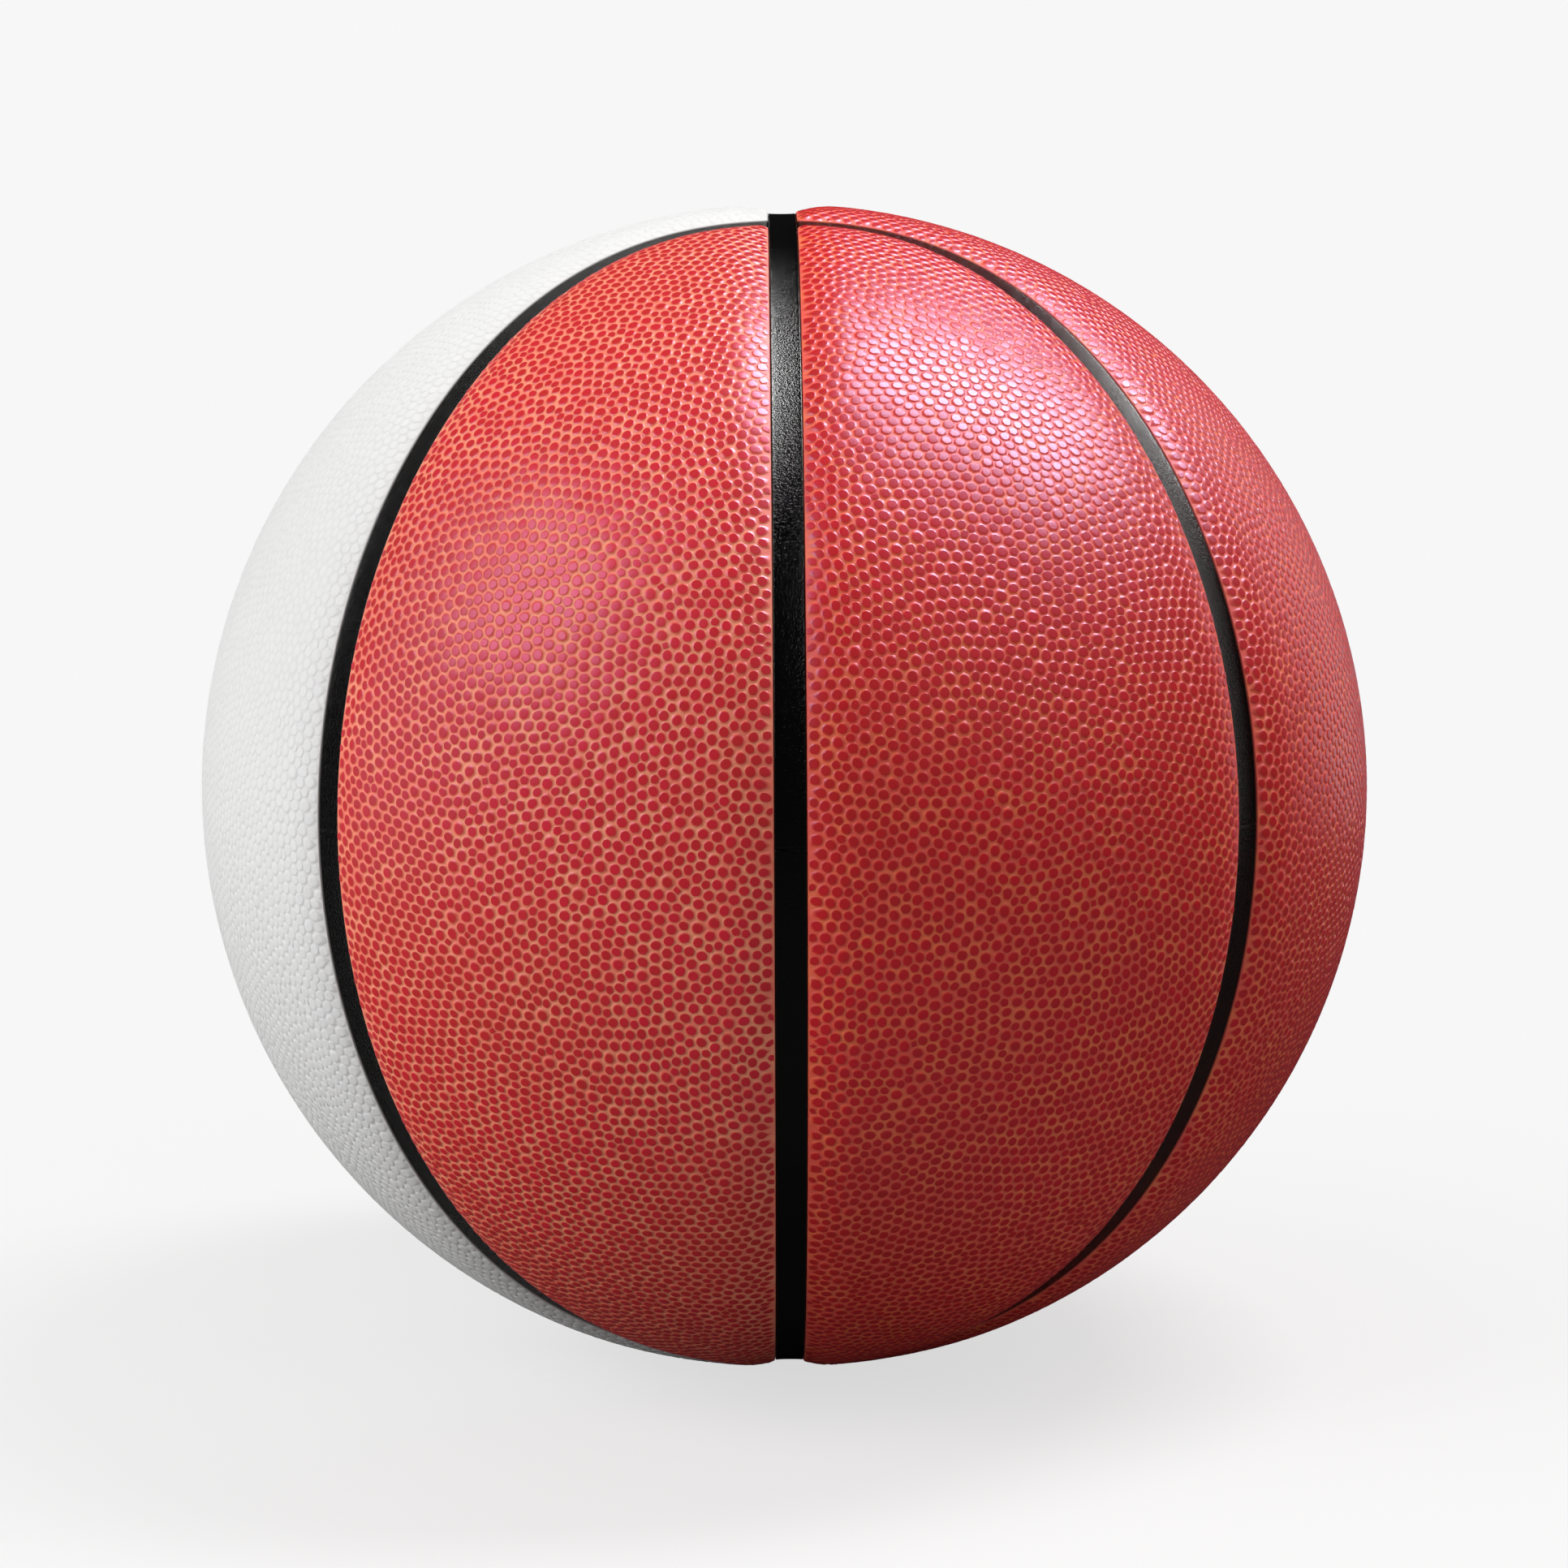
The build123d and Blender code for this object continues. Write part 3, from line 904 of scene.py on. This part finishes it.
def pebbled_leather(name, top_pair, ground_pair, worn, ink_wear, shine_tint, shine, roughness, fuzz):
    """Polyurethane-coated microfibre. Two noises added mix the ground's pair. The pebble's own shade mixes
    the tops' pair, which noise fades to the worn colour. The pebble value picks ground or top, and the
    panel's cut edge and underside take a dark painted shade that stands for the shadow in the channel."""
    material, tree, shader = new_material(name)
    where = add(tree, "TexCoord").outputs["Object"]
    labels = ("pebble", "tint", "channel_shade")
    pebble, tint, channel_shade = [add(tree, "Attribute", attribute_name=label).outputs["Fac"] for label in labels]
    noises = []
    for size, detail in ((BLOTCH_MM, 2.0), (SPECK_MM, 2.0), (DRIFT_MM, 1.0), (GRAIN_MM, 2.0)):
        noise = add(tree, "TexNoise", {"Vector": where, "Scale": per_metre(size), "Detail": detail})
        noises.append(noise.outputs["Fac"])
    blotch, speck, drift, grain = noises
    ranges = ((blotch, 0.38, 0.62), (speck, 0.35, 0.75), (drift, 0.35, 0.65))
    blotched, specked, faded = [
        add(tree, "MapRange", {"Value": value, "From Min": low, "From Max": high}).outputs["Result"]
        for value, low, high in ranges]

    drifted = add(tree, "Math", {0: blotched, 1: drift}, operation="ADD").outputs[0]
    pinker = add(tree, "MapRange", {"Value": drifted, "From Min": 0.3, "From Max": 1.2}).outputs["Result"]
    pair = {"Factor": pinker, "A": colour(ground_pair[0]), "B": colour(ground_pair[1])}
    ground = add(tree, "Mix", pair, data_type="RGBA").outputs["Result"]

    pair = {"Factor": tint, "A": colour(top_pair[0]), "B": colour(top_pair[1])}
    inked = add(tree, "Mix", pair, data_type="RGBA").outputs["Result"]
    uneven = add(tree, "Math", {0: specked, 1: faded}, operation="ADD").outputs[0]
    thin = add(tree, "Math", {0: uneven, 1: ink_wear}, operation="MULTIPLY").outputs[0]
    pair = {"Factor": thin, "A": inked, "B": colour(worn)}
    rubbed = add(tree, "Mix", pair, data_type="RGBA").outputs["Result"]

    printed = add(tree, "MapRange", {"Value": pebble, "From Min": 0.2, "From Max": 0.95}).outputs["Result"]
    pair = {"Factor": printed, "A": ground, "B": rubbed}
    cover = add(tree, "Mix", pair, data_type="RGBA").outputs["Result"]
    # Painted shade on the cut edge and underside: the dark colour stands for the channel's shadow
    pair = {"Factor": channel_shade, "A": cover, "B": colour(CHANNEL_SHADE)}
    channel_shaded = add(tree, "Mix", pair, data_type="RGBA").outputs["Result"]

    dull, satin = roughness
    rough = add(tree, "MapRange", {"Value": pebble, "From Max": 0.45, "To Min": dull, "To Max": satin})
    relief = {"Height": grain, "Strength": 0.25, "Distance": GRAIN_DEPTH_MM * METRES}
    set_inputs(tree, shader, {
        "Base Color": channel_shaded,
        "Roughness": rough.outputs["Result"],
        "Normal": add(tree, "Bump", relief).outputs["Normal"],
        "Specular Tint": colour(shine_tint),
        "Specular IOR Level": shine,
        "Sheen Weight": fuzz,
        "Sheen Roughness": SHEEN_ROUGHNESS,
        "Sheen Tint": colour(SHEEN_TINT),
    })
    return material


print("Leather with blotches of", BLOTCH_MM, "mm and a print that fades over", DRIFT_MM, "mm")

# %% [markdown]
# ## Red, coral and white leather
# The panels of a ball are cut from different rolls, and no two take the dye alike. One roll is a deep
# red and one is white with its pebbles left unprinted. On one panel of each oval sits a lighter, more
# coral copy of the red: partly a real difference between rolls, and partly painted light, standing for
# the light from the left that falls on the front left panel.

# %% Cover materials
# Panels that take the lighter coral copy of the red leather, which is partly painted light
LIT_CORAL_PANELS = ("cover_inner_panel_front_left", "cover_inner_panel_back_right")
# Deep red tops on orange, with a cool shine
red_leather = pebbled_leather(
    "pebbled_leather_red", ("#DA1016", "#CC1614"), ("#FA7842", "#F25A40"), "#B82616", 0.35,
    "#D0D0FF", 1.0, (0.55, 0.34), 0.1)
# Lighter red tops on a pale salmon orange, with a pinker shine; partly painted light from the left
lit_coral_leather = pebbled_leather(
    "pebbled_leather_lit_coral", ("#DE2234", "#D0262A"), ("#FD9C74", "#F88062"), "#BE3624", 0.35,
    "#FFC4F4", 1.0, (0.55, 0.3), 0.08)
# White throughout and duller, so that its pebbles show by their shading alone
white_leather = pebbled_leather(
    "pebbled_leather_white", ("#E8E8E8", "#E5E5E5"), ("#E0E0E0", "#E2E2E1"), "#E6E6E6", 0.3,
    "#FFFFFF", 0.5, (0.6, 0.5), 0.0)
# The lighter coral copy, partly painted light from the left, goes on one inner panel of each oval
for piece in red_panels:
    gets_lit_coral = piece.name in LIT_CORAL_PANELS
    piece.data.materials.append(lit_coral_leather if gets_lit_coral else red_leather)
for piece in white_panels:
    piece.data.materials.append(white_leather)
print("Cover materials:", red_leather.name, lit_coral_leather.name, white_leather.name)

# %% [markdown]
# ## Black rubber
# The strips are extruded from carbon-black rubber. The die leaves a fine grain that breaks the light
# into sparkles, so a highlight on a strip is a grainy grey patch and not a clean line.

# %% Strip material
CLOUD_MM = 9
ROUGHNESS_RANGE = 0.06


def grained_rubber(name, shades, roughness, grain_mm, depth_mm, shine=0.4):
    """Carbon-black rubber: near black, satin, with a fine grain. A soft cloud shifts its shade and its
    roughness, as where it was handled."""
    material, tree, shader = new_material(name)
    where = add(tree, "TexCoord").outputs["Object"]
    soft = {"Vector": where, "Scale": per_metre(CLOUD_MM), "Detail": 3.0}
    cloud = add(tree, "TexNoise", soft).outputs["Fac"]
    pair = {"Factor": cloud, "A": colour(shades[0]), "B": colour(shades[1])}
    fine = {"Vector": where, "Scale": per_metre(grain_mm), "Detail": 3.0, "Roughness": 0.6}
    grain = add(tree, "TexNoise", fine).outputs["Fac"]
    relief = {"Height": grain, "Strength": 1.0, "Distance": depth_mm * METRES}
    ends = {"To Min": roughness - ROUGHNESS_RANGE, "To Max": roughness + ROUGHNESS_RANGE}
    set_inputs(tree, shader, {
        "Base Color": add(tree, "Mix", pair, data_type="RGBA").outputs["Result"],
        "Roughness": add(tree, "MapRange", {"Value": cloud, **ends}).outputs["Result"],
        "Normal": add(tree, "Bump", relief).outputs["Normal"],
        "Specular IOR Level": shine,
    })
    return material


# The grain is nearer 0.15 mm on the real strip; it is drawn coarser, so that it shows in the render
strip_rubber = grained_rubber("extruded_black_rubber", ("#030303", "#060606"), 0.12, 0.38, 0.12, 1.0)
for piece in strips:
    piece.data.materials.append(strip_rubber)
print("Strips wear", strip_rubber.name)

# %% [markdown]
# ## The layers inside and the valve
# These keep their CAD meshes and get their own materials: butyl rubber for the bladder, moulded rubber for
# the carcass, a softer rubber for the valve, and wound thread in latex for the winding, whose rows are a
# wave that a slow noise bends.

# %% Inner materials
butyl = grained_rubber("butyl_rubber", ("#17171A", "#202024"), 0.55, 3.0, 0.05)
carcass_rubber = grained_rubber("moulded_carcass_rubber", ("#1A1817", "#25211F"), 0.6, 1.2, 0.08)
valve_rubber = grained_rubber("soft_valve_rubber", ("#141415", "#1C1C1D"), 0.5, 0.6, 0.02)

# Nylon set in latex: pale matt rows of thread with darker lines between them
WANDER_MM = 40
ROW_MM = 1.2
ROW_DEPTH_MM = 0.3
WAVES_PER_SCALE = 20
thread, tree, shader = new_material("wound_nylon_thread")
where = add(tree, "TexCoord").outputs["Object"]
wander = add(tree, "TexNoise", {"Vector": where, "Scale": per_metre(WANDER_MM), "Detail": 1.0})
bend = {"Factor": 0.02, "A": where, "B": wander.outputs["Color"]}
bent = add(tree, "Mix", bend, data_type="VECTOR").outputs[1]
wave = {"Vector": bent, "Scale": per_metre(ROW_MM) / WAVES_PER_SCALE, "Distortion": 1.0}
rows = add(tree, "TexWave", wave, bands_direction="DIAGONAL").outputs["Fac"]
pair = {"Factor": rows, "A": colour("#A39A86"), "B": colour("#DCD6C6")}
ridge = {"Height": rows, "Strength": 0.8, "Distance": ROW_DEPTH_MM * METRES}
set_inputs(tree, shader, {
    "Base Color": add(tree, "Mix", pair, data_type="RGBA").outputs["Result"],
    "Roughness": 0.7,
    "Normal": add(tree, "Bump", ridge).outputs["Normal"],
})

kept_nodes = {
    "bladder": butyl,
    "thread_winding": thread,
    "carcass": carcass_rubber,
    "valve_seat": valve_rubber,
    "valve_plug": valve_rubber,
}
for node, material in kept_nodes.items():
    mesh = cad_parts[node].data
    mesh.materials.clear()
    mesh.materials.append(material)
print("CAD nodes that stay in view:", ", ".join(kept_nodes))

# %% [markdown]
# ## Floor and background
# The photograph has a plain pale background. The floor shows that colour to the camera, mixed with its real
# shading near the ball, so it keeps a soft shadow and fades into the background. The near-black strips show
# that the ball stood in a dark room, and it has no metal or glass. So Light Path tells the rays apart: the
# camera sees the pale background, reflections see a dark room and floor, and diffuse rays get a plain fill.

# %% Floor
PALE = "#F7F7F7"
FLOOR_HALF = 3.0
FADE_FROM = 0.1
FADE_TO = 0.4
LEAST_GLOW = 0.72
floor_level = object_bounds()[0][2]
corners = [(x, y, floor_level) for x, y in ((-1, -1), (1, -1), (1, 1), (-1, 1))]
floor_mesh = bpy.data.meshes.new("studio_floor")
floor_mesh.from_pydata([(x * FLOOR_HALF, y * FLOOR_HALF, z) for x, y, z in corners], [], [(0, 1, 2, 3)])
floor = bpy.data.objects.new("studio_floor", floor_mesh)
bpy.context.scene.collection.objects.link(floor)

# Matt seamless paper: no shine, one even tone
paper, tree, shader = new_material("matt_studio_paper")
where = add(tree, "TexCoord").outputs["Object"]
flat = add(tree, "VectorMath", {0: where, 1: (1, 1, 0)}, operation="MULTIPLY").outputs["Vector"]
away = add(tree, "VectorMath", {0: flat}, operation="LENGTH").outputs["Value"]
fading = {"Value": away, "From Min": FADE_FROM, "From Max": FADE_TO, "To Min": LEAST_GLOW, "To Max": 1.0}
fade = add(tree, "MapRange", fading, interpolation_type="SMOOTHSTEP").outputs["Result"]
rays = add(tree, "LightPath").outputs
views = {0: rays["Is Camera Ray"], 1: rays["Is Transmission Ray"]}
seen = add(tree, "Math", views, operation="MAXIMUM").outputs[0]
shown = add(tree, "Math", {0: seen, 1: fade}, operation="MULTIPLY").outputs[0]
glow = add(tree, "Emission", {"Color": colour(PALE), "Strength": 1.0})
pair = {"Factor": rays["Is Diffuse Ray"], "A": colour("#2C2C2C"), "B": colour("#8A8A8A")}
bounced = add(tree, "Mix", pair, data_type="RGBA").outputs["Result"]
pair = {"Factor": rays["Is Camera Ray"], "A": bounced, "B": colour("#F0F0F0")}
sheet = add(tree, "Mix", pair, data_type="RGBA").outputs["Result"]
set_inputs(tree, shader, {"Base Color": sheet, "Roughness": 0.9, "Specular IOR Level": 0.0})
blend = add(tree, "MixShader", {0: shown, 1: shader.outputs[0], 2: glow.outputs[0]})
set_inputs(tree, tree.nodes["Material Output"], {"Surface": blend.outputs[0]})
floor_mesh.materials.append(paper)
print("Floor at", round(floor_level, 4), "m")

# %% World
REFLECTED_ROOM = 0.01
DIFFUSE_FILL = 0.26
world = bpy.data.worlds.new("studio")
bpy.context.scene.world = world
world.use_nodes = True
tree = world.node_tree
tree.nodes.clear()
rays = add(tree, "LightPath").outputs
views = {0: rays["Is Camera Ray"], 1: rays["Is Transmission Ray"]}
seen = add(tree, "Math", views, operation="MAXIMUM").outputs[0]
backdrop = add(tree, "Background", {"Color": colour(PALE), "Strength": 1.0})
levels = {"Value": rays["Is Diffuse Ray"], "To Min": REFLECTED_ROOM, "To Max": DIFFUSE_FILL}
fill = add(tree, "MapRange", levels).outputs["Result"]
room = add(tree, "Background", {"Color": colour("#F4F1F0"), "Strength": fill})
blend = add(tree, "MixShader", {0: seen, 1: room.outputs[0], 2: backdrop.outputs[0]})
add(tree, "OutputWorld", {"Surface": blend.outputs[0]})
print("Diffuse fill", DIFFUSE_FILL, "and", REFLECTED_ROOM, "in reflections")

# %% [markdown]
# ## Lamps
# The highlights tell where the lamps stood: a large soft box high on the right, a weaker one on the left,
# and a light from behind on the right that edges the ball. A large box would give the white leather too much
# light, so the right one is two lamps: a small one for the plain light, and one of the real size that only
# reflections see. The fills stand for bounced light and aren't reflected. The camera sees no lamp.

# %% Lamps


def soft_box(name, azimuth, elevation, distance, size, power):
    """A rectangular area lamp that faces the ball. Azimuth is from the front towards the right, in
    degrees, and its place is the distance times the direction of the two angles."""
    lamp = bpy.data.lights.new(name, "AREA")
    lamp.shape = "RECTANGLE"
    lamp.size, lamp.size_y = size
    lamp.energy = power
    stand = bpy.data.objects.new(name, lamp)
    stand.visible_camera = False
    bpy.context.scene.collection.objects.link(stand)
    turn = np.radians(azimuth)
    rise = np.radians(elevation)
    along_floor = distance * np.cos(rise)
    stand.location = (along_floor * np.sin(turn), -along_floor * np.cos(turn), distance * np.sin(rise))
    stand.rotation_euler = Vector(stand.location).to_track_quat("Z", "Y").to_euler()
    return stand


key_light = soft_box("key_soft_box", 90, 65, 1.1, (0.27, 0.57), 8.6)
key_shine = soft_box("key_shine", 90, 64, 1.1, (0.33, 0.7), 16.6)
key_shine.visible_diffuse = False
soft_box("left_soft_box", -54, 35, 1.3, (0.64, 0.64), 4.7)
soft_box("rim_light", 128, 8, 1.2, (0.6, 1.2), 2.2)
left_fill = soft_box("left_fill", -75, 14, 1.5, (1.6, 1.4), 13)
low_fill = soft_box("low_left_fill", -85, 0, 0.8, (0.5, 0.16), 1.2)
right_fill = soft_box("right_fill", 50, 32, 1.5, (1.2, 1.2), 3.7)
for stand in (key_light, left_fill, low_fill, right_fill):
    stand.visible_glossy = False

# %% [markdown]
# ## Camera
# The strips' curves in the photograph fix the camera: a little above the ball's middle, some five
# ball radii away, and turned by a fraction of a degree.

# %% Camera
FRAME_PIXELS = 1932
SHIFT_PIXELS = (-0.5, 3.1)
LENS_MM = 67.85
SENSOR_MM = 36.0
CAMERA_DISTANCE = 5.17 * BALL_RADIUS * METRES
CAMERA_RISE = np.radians(5.2)
CAMERA_TURN = np.radians(-0.5)
CAMERA_LEAN = np.radians(0.33)
camera_data = bpy.data.cameras.new("photo_camera")
camera_data.lens = LENS_MM
camera_data.sensor_width = SENSOR_MM
camera_data.shift_x = SHIFT_PIXELS[0] / FRAME_PIXELS
camera_data.shift_y = SHIFT_PIXELS[1] / FRAME_PIXELS
camera_data.dof.use_dof = False
camera = bpy.data.objects.new("photo_camera", camera_data)
bpy.context.scene.collection.objects.link(camera)
level_reach = np.cos(CAMERA_RISE)
backward = Vector((
    level_reach * np.sin(CAMERA_TURN), -level_reach * np.cos(CAMERA_TURN), np.sin(CAMERA_RISE)))
lean_up = Vector((np.sin(CAMERA_LEAN), 0, np.cos(CAMERA_LEAN)))
rightward = lean_up.cross(backward).normalized()
upward = backward.cross(rightward)
camera.matrix_world = Matrix((rightward, upward, backward)).transposed().to_4x4()
camera.location = backward * CAMERA_DISTANCE
bpy.context.scene.camera = camera
bpy.context.scene.view_settings.view_transform = "Standard"
print("Camera at", [round(value, 4) for value in camera.location])
